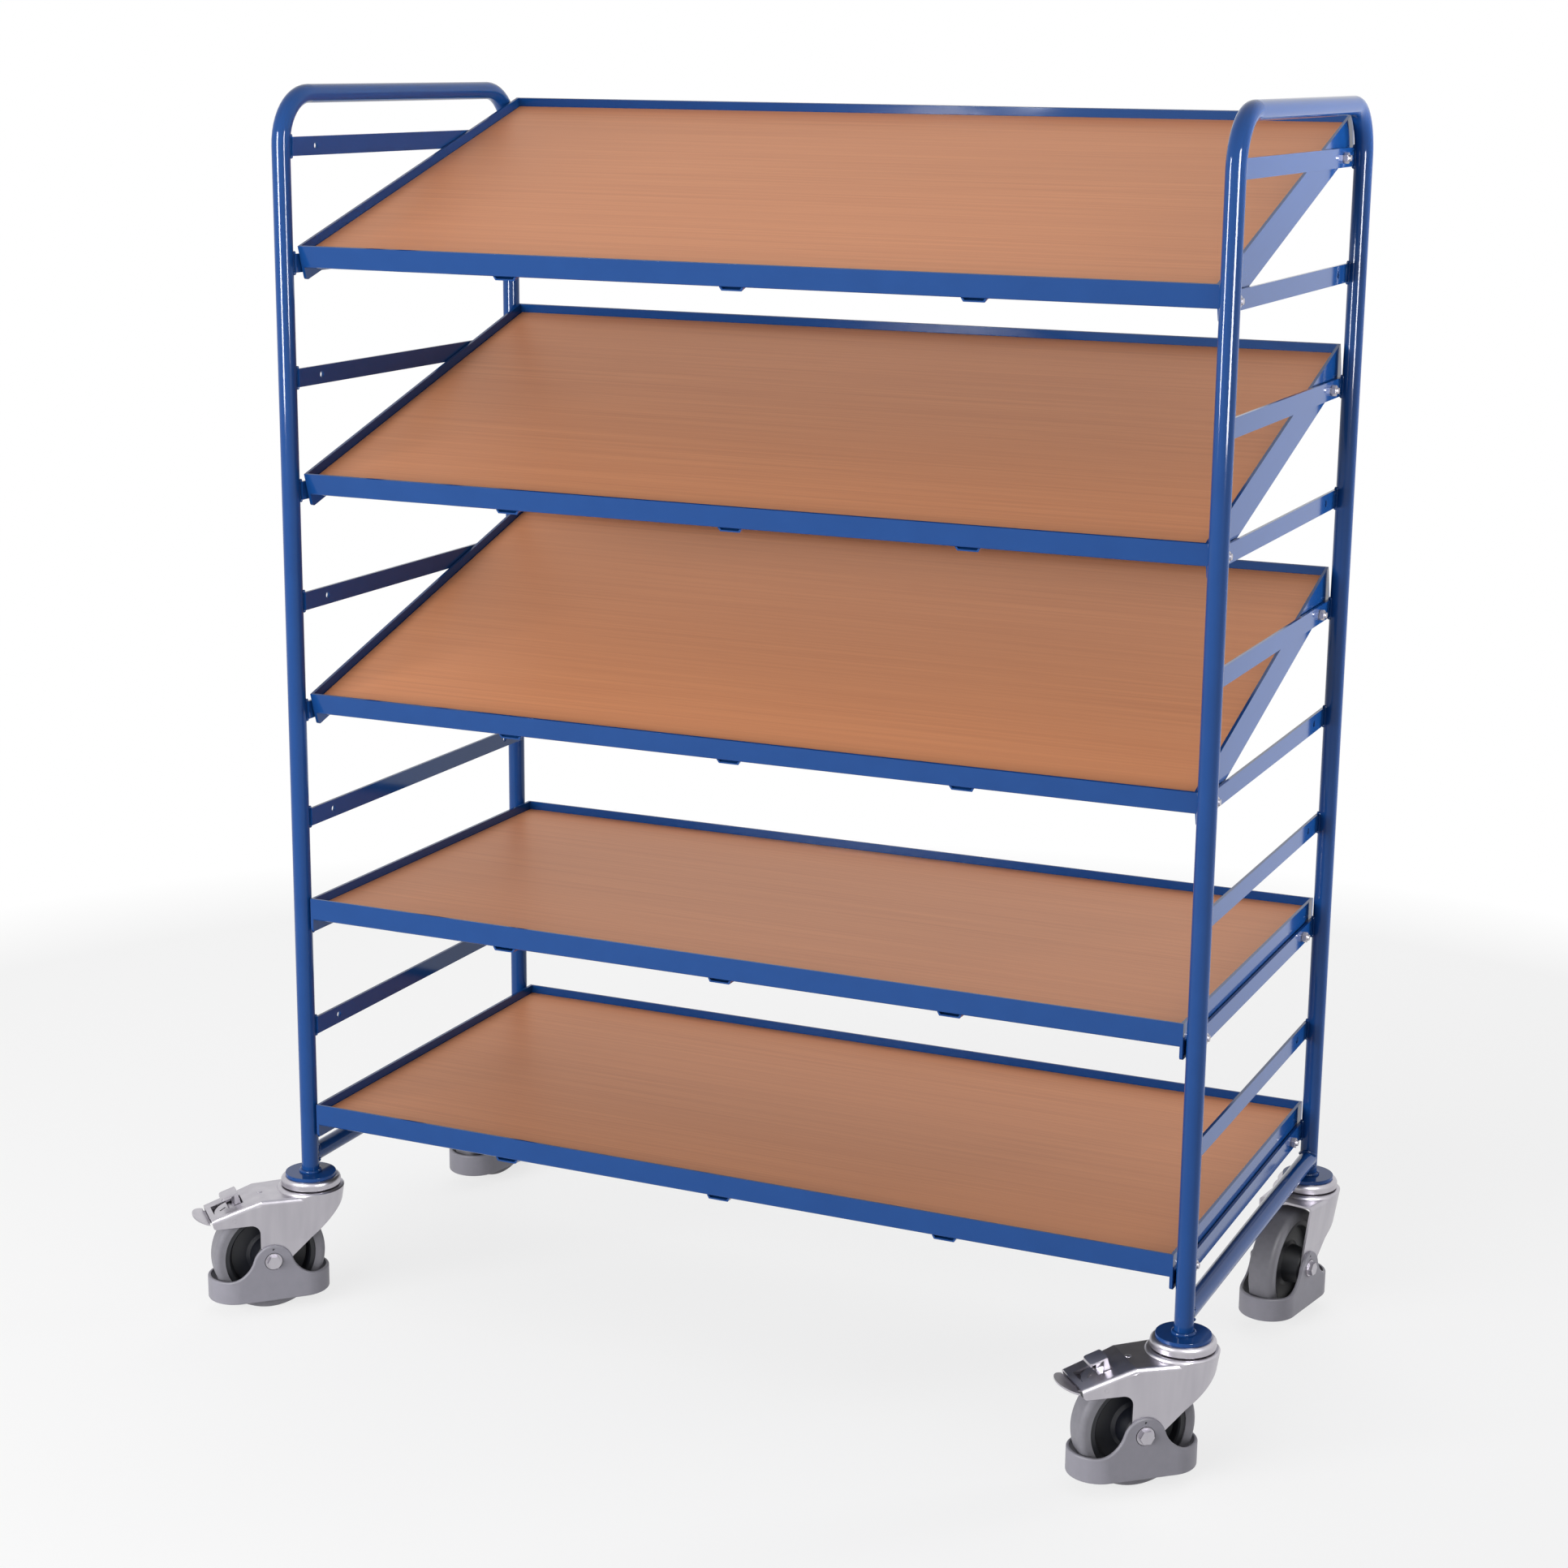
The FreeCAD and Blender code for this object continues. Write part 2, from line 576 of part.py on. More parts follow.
# Foot guard: an oval hoop whose sides rise in a bell to the axle
def foot_guard():
    def oval(radius, half_length, height):
        flat = half_length - radius
        body = box((TRAIL - flat, -radius, 0), (TRAIL + flat, radius, height))
        for x in (TRAIL - flat, TRAIL + flat):
            body = body.fuse(Part.makeCylinder(radius, height, V(x, 0, 0), Z_AXIS))
        return body.removeSplitter()

    skin = oval(guard_outer, GUARD_HALF_LENGTH, crown_top)

    def on_skin(edge):
        upright = edge.Vertexes[0].Point - edge.Vertexes[-1].Point
        middle = Part.Vertex(edge.valueAt((edge.FirstParameter + edge.LastParameter) / 2))
        seam = upright.cross(Z_AXIS).Length < THREAD_CLEARANCE
        return not seam and middle.distToShape(skin.Shells[0])[0] < THREAD_CLEARANCE

    hoop = skin.cut(oval(LEG_HALF_WIDTH, GUARD_HALF_LENGTH - GUARD_WALL, crown_top))
    bell_z = bell_top - BELL_RADIUS
    flank_z = GUARD_RIM + BELL_FLANK
    reach = BELL_RADIUS + BELL_FLANK
    flank_x = math.sqrt(reach ** 2 - (flank_z - bell_z) ** 2)
    lean = math.degrees(math.atan2(flank_z - bell_z, flank_x))
    end = 2 * GUARD_HALF_LENGTH
    outline = [(TRAIL - end, GUARD_BOTTOM), (TRAIL - end, GUARD_RIM),
               ((TRAIL - flank_x, flank_z), BELL_FLANK, -90, -lean),
               ((TRAIL, bell_z), BELL_RADIUS, 180 - lean, lean),
               ((TRAIL + flank_x, flank_z), BELL_FLANK, 180 + lean, 270),
               (TRAIL + end, GUARD_RIM), (TRAIL + end, GUARD_BOTTOM)]
    guard = hoop.common(side_prism(side_wire(outline), 4 * guard_outer))
    edges = [e for e in guard.Edges if on_skin(e)]
    guard = guard.makeFillet(GUARD_EDGE, edges)
    across = 4 * guard_outer
    start = hub - Y_AXIS * across / 2
    guard = guard.cut(Part.makeCylinder(AXLE_DIA / 2 + THREAD_CLEARANCE, across, start, Y_AXIS))
    guard = guard.cut(Part.makeCylinder(GUARD_HOLE_DIA / 2, across, start + Z_AXIS * GUARD_HOLE_RISE, Y_AXIS))
    recess = AXLE_WASHER_DIA / 2 + RECESS_CLEARANCE
    for side in (-1, 1):
        floor = hub + Y_AXIS * side * washer_seat
        guard = guard.cut(Part.makeCylinder(recess, 2 * GUARD_RECESS, floor, Y_AXIS * side))
    return guard


# Wheel: rounded tyre, dished core, roller bearing
def tyre():
    start = hub - Y_AXIS * TYRE_WIDTH / 2
    tread = Part.makeCylinder(WHEEL_DIA / 2, TYRE_WIDTH, start, Y_AXIS)
    rounds = [e for e in tread.Edges if len(e.Vertexes) == 1]
    tread = tread.makeFillet(TREAD_ROUND, rounds)
    return tread.cut(Part.makeCylinder(WHEEL_DIA / 2 - TYRE_DEPTH, TYRE_WIDTH, start, Y_AXIS))


sleeve_radius = AXLE_DIA / 2 + THREAD_CLEARANCE + SLEEVE_WALL
bearing_radius = sleeve_radius + RUNNING_CLEARANCE + BEARING_WALL
hub_half = leg_inner - HUB_END_PLAY


def wheel_core():
    rim_outer = WHEEL_DIA / 2 - TYRE_DEPTH - CORE_GAP
    rim_inner = rim_outer - RIM_DEPTH
    bore = bearing_radius + RUNNING_CLEARANCE
    web = WEB_THICK / 2
    rim_half = RIM_WIDTH / 2
    flare = HUB_RADIUS + HUB_FLARE
    upper = [(bore, hub_half), (HUB_RADIUS - HUB_EDGE, hub_half), (HUB_RADIUS, hub_half - HUB_EDGE),
             (flare, web + DISH_RISE), (flare + DISH_WIDTH, web), (rim_inner - RIM_FLARE, web),
             (rim_inner, rim_half - HUB_EDGE), (rim_inner + HUB_EDGE, rim_half), (rim_outer, rim_half)]
    lower = [(radius, -height) for radius, height in reversed(upper)]
    return revolve(upper + lower, hub, Y_AXIS)


def wheel_bearing():
    start = hub - Y_AXIS * hub_half
    return ring(bearing_radius, sleeve_radius + RUNNING_CLEARANCE, 2 * hub_half, start, Y_AXIS)


# Axle: bolt, washers, nut and the sleeve that keeps the fork legs apart
def axle_set():
    bore = AXLE_DIA / 2 + THREAD_CLEARANCE
    seat = washer_seat + AXLE_WASHER
    start = hub + Y_AXIS * seat
    length = 2 * seat + AXLE_HEAD + AXLE_END
    bolt = Part.makeCylinder(AXLE_DIA / 2, length, start, -Y_AXIS)
    bolt = bolt.fuse(hexagon(AXLE_FLATS, AXLE_HEAD, start, Y_AXIS))
    nut_seat = hub - Y_AXIS * seat
    nut = hexagon(AXLE_FLATS, AXLE_HEAD, nut_seat, -Y_AXIS)
    nut = nut.cut(Part.makeCylinder(bore, AXLE_HEAD, nut_seat, -Y_AXIS))
    washer = AXLE_WASHER_DIA / 2
    near = ring(washer, bore, AXLE_WASHER, hub + Y_AXIS * washer_seat, Y_AXIS)
    far = ring(washer, bore, AXLE_WASHER, hub - Y_AXIS * washer_seat, -Y_AXIS)
    sleeve = ring(sleeve_radius, bore, 2 * leg_inner, hub - Y_AXIS * leg_inner, Y_AXIS)
    return [bolt, nut, near, far, sleeve]


# Swivel head: top race with rolled edge, kingpin with its threaded bush, ring of balls
race_ceiling = crown_top + BALL_DIA + 2 * BALL_CLEARANCE


def top_race():
    inner = RACE_RADIUS - FORK_SHEET
    profile = [(STUD_DIA / 2 + THREAD_CLEARANCE, castor_height), (RACE_RADIUS, castor_height),
               (RACE_RADIUS, race_bottom), (inner, race_bottom), (inner, race_ceiling),
               (STUD_DIA / 2 + THREAD_CLEARANCE, race_ceiling)]
    race = revolve(profile, ORIGIN, Z_AXIS)
    round_edges = [e for e in race.Edges if len(e.Vertexes) == 1]
    edges = [e for e in round_edges if abs(e.Curve.Radius - RACE_RADIUS) < THREAD_CLEARANCE]
    top = [e for e in edges if e.CenterOfMass.z > race_ceiling]
    low = [e for e in edges if e.CenterOfMass.z < race_ceiling]
    return race.makeFillet(RACE_ROLL, top).makeFillet(FORK_SHEET / 2, low)


def kingpin():
    flange_top = crown_top - FORK_SHEET - KINGPIN_PLAY
    flange_low = flange_top - KINGPIN_FLANGE
    neck = KINGPIN_DIA / 2
    stud = STUD_DIA / 2
    profile = [(0, flange_low), (KINGPIN_FLANGE_DIA / 2, flange_low), (KINGPIN_FLANGE_DIA / 2, flange_top),
               (neck, flange_top), (neck, race_ceiling), (stud, race_ceiling),
               (stud, foot_top + BUSH_LENGTH), (0, foot_top + BUSH_LENGTH)]
    pin = revolve(profile, ORIGIN, Z_AXIS)
    pin = pin.fuse(hexagon(KINGPIN_FLATS, KINGPIN_HEAD, V(0, 0, flange_low - KINGPIN_HEAD), Z_AXIS))
    bush_radius = tube_radius - TUBE_WALL - BUSH_CLEARANCE
    bush = ring(bush_radius, stud + THREAD_CLEARANCE, BUSH_LENGTH, V(0, 0, foot_top), Z_AXIS)
    return [pin, bush]


def balls():
    z = crown_top + BALL_CLEARANCE + BALL_DIA / 2
    spheres = []
    for number in range(BALL_COUNT):
        a = 2 * math.pi * number / BALL_COUNT
        centre = V(BALL_CIRCLE / 2 * math.cos(a), BALL_CIRCLE / 2 * math.sin(a), z)
        spheres.append(Part.makeSphere(BALL_DIA / 2, centre))
    return spheres


# Brake: a rocker of bent sheet on a cross pin, tongue in front, release pad above the window
pivot = V(pivot_x, 0, visor_z(pivot_x) - PIVOT_DROP)
tongue_start = VISOR_REACH + TONGUE_GAP
tongue_z = visor_z(VISOR_REACH) - FORK_SHEET / math.cos(slope) - TONGUE_GAP


# Bent strip in the side view, sheet thickness measured upright
def strip(line, width):
    lower = [(x, z - PEDAL_SHEET) for x, z in reversed(line)]
    return side_prism(side_wire(line + lower), width)


# Top line of the pad, level with the visor's slope
def pad_line(x):
    return visor_z(x) + PAD_HEIGHT


# Raised pad that lets the brake off: a plate with a lip turned down in front and round corners
def release_pad():
    rear = pad_front - PAD_LENGTH
    inner = pad_front - PEDAL_SHEET
    lip_z = pad_line(pad_front) - PAD_LIP
    outline = [(pad_front, pad_line(pad_front)), (rear, pad_line(rear)), (rear, pad_line(rear) - PEDAL_SHEET),
               (inner, pad_line(inner) - PEDAL_SHEET), (inner, lip_z), (pad_front, lip_z)]
    column = box((rear, -PAD_WIDTH / 2, axle_z), (pad_front, PAD_WIDTH / 2, 2 * crown_top))
    upright = [e for e in column.Edges if e.BoundBox.ZLength > PAD_LENGTH + PAD_WIDTH]
    return side_prism(side_wire(outline), PAD_WIDTH).common(column.makeFillet(PAD_ROUND, upright))


def brake_pedal():
    under = pivot.z + PIVOT_PIN_DIA / 2 + THREAD_CLEARANCE + PEDAL_SHEET
    tail = window_rear + TONGUE_GAP
    plate = strip([(tail, visor_z(tail) - 3 * PEDAL_SHEET), (pivot_x, under + PEDAL_SHEET),
                   (pad_front, tongue_z), (tongue_start, tongue_z)], PEDAL_WIDTH)
    tongue = strip([(tongue_start, tongue_z), (tongue_reach, tongue_z + TONGUE_LIFT)], TONGUE_WIDTH)
    spoon = oval_column(tongue_start, 0, tongue_reach - tongue_start, TONGUE_WIDTH / 2)
    pedal = plate.fuse(tongue.common(spoon)).fuse(release_pad())
    neck = stem_front - PAD_LIP
    flank = [(stem_rear, visor_z(stem_rear)), (neck, pad_line(neck)),
             (stem_front, pad_line(stem_front)), (stem_front, under), (stem_rear, under)]
    for side in (-1, 1):
        stem = side_prism(side_wire(flank), PEDAL_SHEET)
        stem.translate(V(0, side * (PAD_WIDTH - PEDAL_SHEET) / 2, 0))
        pedal = pedal.fuse(stem)
    for edge in (-PEDAL_WIDTH / 2, PEDAL_WIDTH / 2 - PEDAL_SHEET):
        cheek = Part.makeCylinder(CHEEK_RADIUS, PEDAL_SHEET, V(pivot_x, edge, pivot.z), Y_AXIS)
        web = box((pivot_x - CHEEK_RADIUS, edge, pivot.z),
                  (pivot_x + CHEEK_RADIUS, edge + PEDAL_SHEET, under - PEDAL_SHEET / 2))
        pedal = pedal.fuse(cheek).fuse(web)
    bore = PIVOT_PIN_DIA / 2 + RUNNING_CLEARANCE
    pin = Part.makeCylinder(bore, PEDAL_WIDTH, pivot - Y_AXIS * PEDAL_WIDTH / 2, Y_AXIS)
    return pedal.cut(pin).removeSplitter()


# Shoe with a hollow face that follows the tyre, hung under the pedal plate
def brake_shoe():
    low = pivot_x + CHEEK_RADIUS + PEDAL_SHEET
    seat = tongue_z - PEDAL_SHEET
    block = box((low, -SHOE_WIDTH / 2, seat - SHOE_HEIGHT), (low + SHOE_LENGTH, SHOE_WIDTH / 2, seat))
    reach = WHEEL_DIA / 2 + SHOE_GAP
    return block.cut(Part.makeCylinder(reach, SHOE_WIDTH, hub - Y_AXIS * SHOE_WIDTH / 2, Y_AXIS))


def brake_pin():
    length = 4 * CROWN_RADIUS
    rod = Part.makeCylinder(PIVOT_PIN_DIA / 2, length, pivot - Y_AXIS * length / 2, Y_AXIS)
    return rod.common(fork_block(0, VISOR_REACH))


def at_corner(solid, corner):
    across, along, heading = CASTORS[corner]
    copy = solid.copy()
    copy.rotate(ORIGIN, Z_AXIS, heading)
    copy.translate(V(across * post_x, along * post_y, 0))
    return copy


swivel_heads = {"castor_top_races": [top_race()], "castor_kingpins": kingpin(), "castor_balls": balls()}
for node, solids in swivel_heads.items():
    export(node, [at_corner(s, corner) for corner in CASTORS for s in solids])
braked_fork = fork(True)
castor_nodes = {"foot_guard": [foot_guard()], "axle": axle_set(), "tyre": [tyre()],
                "wheel_core": [wheel_core()], "wheel_bearing": [wheel_bearing()]}
brake_nodes = {"fork": [braked_fork], "brake_pedal": [brake_pedal()], "brake_shoe": [brake_shoe()],
               "brake_pin": [brake_pin()]}
plain_nodes = {"fork": [fork(False)]}
for corner in CASTORS:
    nodes = dict(castor_nodes, **(brake_nodes if corner.startswith("front") else plain_nodes))
    for node, solids in nodes.items():
        export(corner + "_" + node, [at_corner(s, corner) for s in solids])
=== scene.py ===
import math

import bmesh
import bpy
from mathutils import Matrix, Vector


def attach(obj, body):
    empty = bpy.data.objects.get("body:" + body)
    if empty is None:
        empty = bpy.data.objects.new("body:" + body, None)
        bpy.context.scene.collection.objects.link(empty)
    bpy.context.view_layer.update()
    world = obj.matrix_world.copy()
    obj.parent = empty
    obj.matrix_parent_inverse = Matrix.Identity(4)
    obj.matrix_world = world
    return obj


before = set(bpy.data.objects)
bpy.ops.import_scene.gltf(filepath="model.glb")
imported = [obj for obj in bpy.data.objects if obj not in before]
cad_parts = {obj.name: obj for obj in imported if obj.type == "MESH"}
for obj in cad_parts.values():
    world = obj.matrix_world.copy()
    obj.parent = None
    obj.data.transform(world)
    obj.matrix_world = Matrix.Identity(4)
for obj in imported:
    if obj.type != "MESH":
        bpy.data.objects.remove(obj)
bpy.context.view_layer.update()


# Side frames: two arches of 25 mm round steel tube, bent cold over a former,
# with ten flat-bar rails, a bottom tube and two pressed foot discs welded in.
# The whole welded frame is stove enamelled in blue.
def linear(hex_code):
    channels = [int(hex_code[i:i + 2], 16) / 255 for i in (1, 3, 5)]
    return [c / 12.92 if c <= 0.04045 else ((c + 0.055) / 1.055) ** 2.4 for c in channels] + [1.0]


def add_node(owner, kind, inputs=None, **settings):
    node = owner.node_tree.nodes.new(kind)
    for name, value in settings.items():
        setattr(node, name, value)
    for name, value in (inputs or {}).items():
        if isinstance(value, bpy.types.NodeSocket):
            owner.node_tree.links.new(value, node.inputs[name])
        else:
            node.inputs[name].default_value = value
    return node


def new_material(name, **sockets):
    material = bpy.data.materials.new(name)
    material.use_nodes = True
    shader = material.node_tree.nodes["Principled BSDF"]
    for socket, value in sockets.items():
        shader.inputs[socket.replace("_", " ")].default_value = value
    return material, shader


# Stove enamel, sprayed and baked: an even deep blue with a wet gloss, a tone that
# drifts a little along a tube, and the faint orange peel that a sprayed coat dries with
enamel, shader = new_material("blue_stove_enamel", Roughness=0.09, Specular_IOR_Level=0.26)
place = add_node(enamel, "ShaderNodeTexCoord").outputs["Object"]
drift_mm = 45
drift = add_node(enamel, "ShaderNodeTexNoise", {
    "Vector": place, "Scale": 1000 / drift_mm, "Detail": 3.0})
# A mix node's sockets 6 and 7 are its two colours, and its output 2 is their blend
blues = add_node(enamel, "ShaderNodeMix", {
    0: drift.outputs["Fac"], 6: linear("#103B75"), 7: linear("#15417D")}, data_type="RGBA")
enamel.node_tree.links.new(blues.outputs[2], shader.inputs["Base Color"])
peel_mm = 2.4
peel_depth_mm = 0.1
peel = add_node(enamel, "ShaderNodeTexNoise", {
    "Vector": place, "Scale": 1000 / peel_mm, "Detail": 1.0})
skin = add_node(enamel, "ShaderNodeBump", {
    "Height": peel.outputs["Fac"], "Strength": 0.02, "Distance": peel_depth_mm / 1000})
enamel.node_tree.links.new(skin.outputs["Normal"], shader.inputs["Normal"])


def dress(node, material, edge_mm=0.0):
    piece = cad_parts[node]
    for slot in piece.material_slots:
        slot.material = material
    if edge_mm:
        # A sharp edge is broken as far as the coat or the die rounds it
        weld = piece.modifiers.new("joined", "WELD")
        weld.merge_threshold = 1e-5
        bevel = piece.modifiers.new("broken_edge", "BEVEL")
        bevel.width = edge_mm / 1000
        bevel.segments = 2
        bevel.limit_method = "ANGLE"
        bevel.angle_limit = math.radians(50)
        bevel.harden_normals = True


for side in ("left", "right"):
    dress(side + "_side_tube", enamel)
    dress(side + "_side_rails", enamel, edge_mm=0.5)
dress("bottom_tubes", enamel)
dress("foot_plates", enamel)


# Welds of the side frames: gas-shielded arc beads that wrap each rail end, ring
# the foot of each post and close the ends of the bottom tubes. They are left as
# laid and enamelled over with the frame.
# Each rail bead runs from the rail's back over its edge and across its outer face
POST_X, POST_Y = 0.650, 0.3075
RAIL_COUNT, RAIL_PITCH, TOP_RAIL_Z = 10, 0.1526, 1.6348
RAIL_END_Y = 0.3006
BACK_X, BEND_X, FACE_X = 0.6365, 0.6404, 0.6412
EDGE_RISE, BEND_RISE = 0.0134, 0.0105
FOOT_TOP_Z, FOOT_RING_RADIUS = 0.1962, 0.0135
BOTTOM_TUBE_Z, SADDLE_RADIUS = 0.219, 0.0130
RAIL_BEAD, FOOT_BEAD, SADDLE_BEAD = 0.0026, 0.0028, 0.0022
BEAD_STEP, BEAD_SIDES, BEAD_END = 0.0012, 8, 0.35
RIPPLE, RIPPLE_DEPTH = 0.0034, 0.10


def lay_bead(mesh, path, radius):
    # The bead swells and narrows with each drop of the wire
    points = [Vector(p) for p in path]
    length = [0.0]
    for a, b in zip(points, points[1:]):
        length.append(length[-1] + (b - a).length)
    count = int(length[-1] / BEAD_STEP)
    rings = []
    for step in range(count + 1):
        s = length[-1] * step / count
        leg = max(i for i in range(len(points) - 1) if length[i] <= s + 1e-9)
        share = (s - length[leg]) / (length[leg + 1] - length[leg])
        centre = points[leg].lerp(points[leg + 1], share)
        along = (points[leg + 1] - points[leg]).normalized()
        across = along.orthogonal().normalized()
        other = along.cross(across)
        swell = 1.0 + RIPPLE_DEPTH * math.sin(2 * math.pi * s / RIPPLE)
        if step in (0, count):
            swell = BEAD_END
        ring = []
        for corner in range(BEAD_SIDES):
            a = 2 * math.pi * corner / BEAD_SIDES
            spoke = across * math.cos(a) + other * math.sin(a)
            ring.append(mesh.verts.new(centre + spoke * radius * swell))
        rings.append(ring)
    for low, high in zip(rings, rings[1:]):
        # Each ring starts at the corner nearest to the last ring's first one
        start = min(range(BEAD_SIDES), key=lambda i: (high[i].co - low[0].co).length)
        high[:] = high[start:] + high[:start]
        for here in range(BEAD_SIDES):
            beside = (here + 1) % BEAD_SIDES
            mesh.faces.new((low[here], low[beside], high[beside], high[here]))
    mesh.faces.new(rings[0][::-1])
    mesh.faces.new(rings[-1])


def add_piece(name, mesh, material, body):
    bmesh.ops.recalc_face_normals(mesh, faces=mesh.faces)
    for face in mesh.faces:
        face.smooth = True
    data = bpy.data.meshes.new(name)
    mesh.to_mesh(data)
    mesh.free()
    data.materials.append(material)
    piece = bpy.data.objects.new(name, data)
    bpy.context.scene.collection.objects.link(piece)
    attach(piece, body)


for side, name in ((-1, "left"), (1, "right")):
    beads = bmesh.new()
    for rail in range(RAIL_COUNT):
        z = TOP_RAIL_Z - RAIL_PITCH * rail
        for end in (-1, 1):
            corners = [(BACK_X, EDGE_RISE), (BEND_X, EDGE_RISE), (FACE_X, BEND_RISE),
                       (FACE_X, -BEND_RISE), (BEND_X, -EDGE_RISE), (BACK_X, -EDGE_RISE)]
            path = [(side * x, end * RAIL_END_Y, z + rise) for x, rise in corners]
            lay_bead(beads, path, RAIL_BEAD)
    for end in (-1, 1):
        ring = [(side * POST_X + FOOT_RING_RADIUS * math.cos(a),
                 end * POST_Y + FOOT_RING_RADIUS * math.sin(a), FOOT_TOP_Z)
                for a in map(math.radians, range(0, 361, 15))]
        lay_bead(beads, ring, FOOT_BEAD)
        # The end of the bottom tube is cut to a saddle, welded above and below
        for half in (0, 180):
            saddle = [(side * POST_X + SADDLE_RADIUS * math.sin(a),
                       end * (POST_Y - SADDLE_RADIUS * abs(math.cos(a))),
                       BOTTOM_TUBE_Z + SADDLE_RADIUS * math.cos(a))
                      for a in map(math.radians, range(half - 64, half + 65, 8))]
            lay_bead(beads, saddle, SADDLE_BEAD)
    add_piece(name + "_frame_welds", beads, enamel, "rack")


# Shelves: two steel angles for the front and back rims, welded to flat end
# plates, with three bent troughs under the board. Enamelled like the side frames.
SHELVES = range(1, 6)
for number in SHELVES:
    dress("shelf_%d_frame" % number, enamel, edge_mm=0.5)
    dress("shelf_%d_crossbars" % number, enamel)


# Shelf boards: 16 mm particle board faced with a beech decor on top, laid in the shelf from above
# with the grain along it.
# The faces below are coloured a dark brown-grey, a painted shade for the shadow under each board.
# Decor paper under melamine: a warm even brown with fine straight grain, wide pale
# bands and a satin sheen
decor, shader = new_material("beech_decor_melamine", Roughness=0.42, Specular_IOR_Level=0.20)
place = add_node(decor, "ShaderNodeTexCoord").outputs["Object"]
# Printed pores are under 1 mm wide, too fine to show here, so the grain is drawn coarser
grain_length_mm, grain_width_mm = 420, 5
stretched = add_node(decor, "ShaderNodeMapping", {
    "Vector": place,
    "Scale": (1000 / grain_length_mm, 1000 / grain_width_mm, 1000 / grain_width_mm)})
grain = add_node(decor, "ShaderNodeTexNoise", {
    "Vector": stretched.outputs["Vector"], "Scale": 1.0, "Detail": 4.0, "Roughness": 0.6})
grain_tone = add_node(decor, "ShaderNodeValToRGB", {"Fac": grain.outputs["Fac"]})
dark_grain, pale_grain = grain_tone.color_ramp.elements
dark_grain.position, dark_grain.color = 0.30, linear("#D5895D")
pale_grain.position, pale_grain.color = 0.70, linear("#EB9E6D")
band_length_mm, band_width_mm = 1600, 90
wide = add_node(decor, "ShaderNodeMapping", {
    "Vector": place,
    "Scale": (1000 / band_length_mm, 1000 / band_width_mm, 1000 / band_width_mm)})
band = add_node(decor, "ShaderNodeTexNoise", {
    "Vector": wide.outputs["Vector"], "Scale": 1.0, "Detail": 2.0})
wood = add_node(decor, "ShaderNodeMix", {
    0: band.outputs["Fac"], 6: grain_tone.outputs["Color"], 7: linear("#E09466")},
    data_type="RGBA")
# Faces that look down are coloured dark brown-grey: painted shade for the shadow under the board
facing = add_node(decor, "ShaderNodeSeparateXYZ", {
    "Vector": add_node(decor, "ShaderNodeTexCoord").outputs["Normal"]})
underside_shade = add_node(decor, "ShaderNodeMath", {0: facing.outputs["Z"], 1: -0.5}, operation="LESS_THAN")
faces = add_node(decor, "ShaderNodeMix", {
    0: underside_shade.outputs["Value"], 6: wood.outputs[2], 7: linear("#35322F")}, data_type="RGBA")
decor.node_tree.links.new(faces.outputs[2], shader.inputs["Base Color"])
for number in SHELVES:
    dress("shelf_%d_board" % number, decor, edge_mm=0.4)


# Shelf bolts: M8 hexagon bolts through the end plates and rails, with nuts
# outside, bought in bright zinc plate.
# Zinc plate: a pale satin mirror, with soft upright lighter and darker bands painted into its
# colour as painted reflection, for the shading of curved flanks
zinc, shader = new_material("bright_zinc_plate", Metallic=1.0)
place = add_node(zinc, "ShaderNodeTexCoord").outputs["Object"]
band_width_mm, band_length_mm = 17, 150
upright_stretch = add_node(zinc, "ShaderNodeMapping", {
    "Vector": place,
    "Scale": (1000 / band_width_mm, 1000 / band_width_mm, 1000 / band_length_mm)})
cloud = add_node(zinc, "ShaderNodeTexNoise", {
    "Vector": upright_stretch.outputs["Vector"], "Scale": 1.0, "Detail": 2.0})
# Two zinc tones blended in upright bands: painted reflection, not a mark of the plating
painted_sheen_bands = add_node(zinc, "ShaderNodeMix", {
    0: cloud.outputs["Fac"], 6: linear("#A9A6AE"), 7: linear("#C3C0C6")}, data_type="RGBA")
zinc.node_tree.links.new(painted_sheen_bands.outputs[2], shader.inputs["Base Color"])
satin_mm = 30
satin = add_node(zinc, "ShaderNodeTexNoise", {
    "Vector": place, "Scale": 1000 / satin_mm, "Detail": 2.0})
gloss = add_node(zinc, "ShaderNodeMapRange", {
    "Value": satin.outputs["Fac"], "To Min": 0.26, "To Max": 0.38})
zinc.node_tree.links.new(gloss.outputs["Result"], shader.inputs["Roughness"])
dress("shelf_bolts", zinc, edge_mm=0.6)
dress("shelf_nuts", zinc, edge_mm=0.4)


# Castors: pressed steel forks on ball races, with king pins up into the posts,
# through-bolted axles and, at the front, a foot brake. All in bright zinc plate.
BRAKED = ("front_left", "front_right")
CORNERS = BRAKED + ("rear_left", "rear_right")
dress("castor_top_races", zinc)
dress("castor_kingpins", zinc)
dress("castor_balls", zinc)
for corner in CORNERS:
    dress(corner + "_fork", zinc)
    dress(corner + "_axle", zinc, edge_mm=0.6)
for corner in BRAKED:
    dress(corner + "_brake_pedal", zinc, edge_mm=0.5)
    dress(corner + "_brake_pin", zinc)


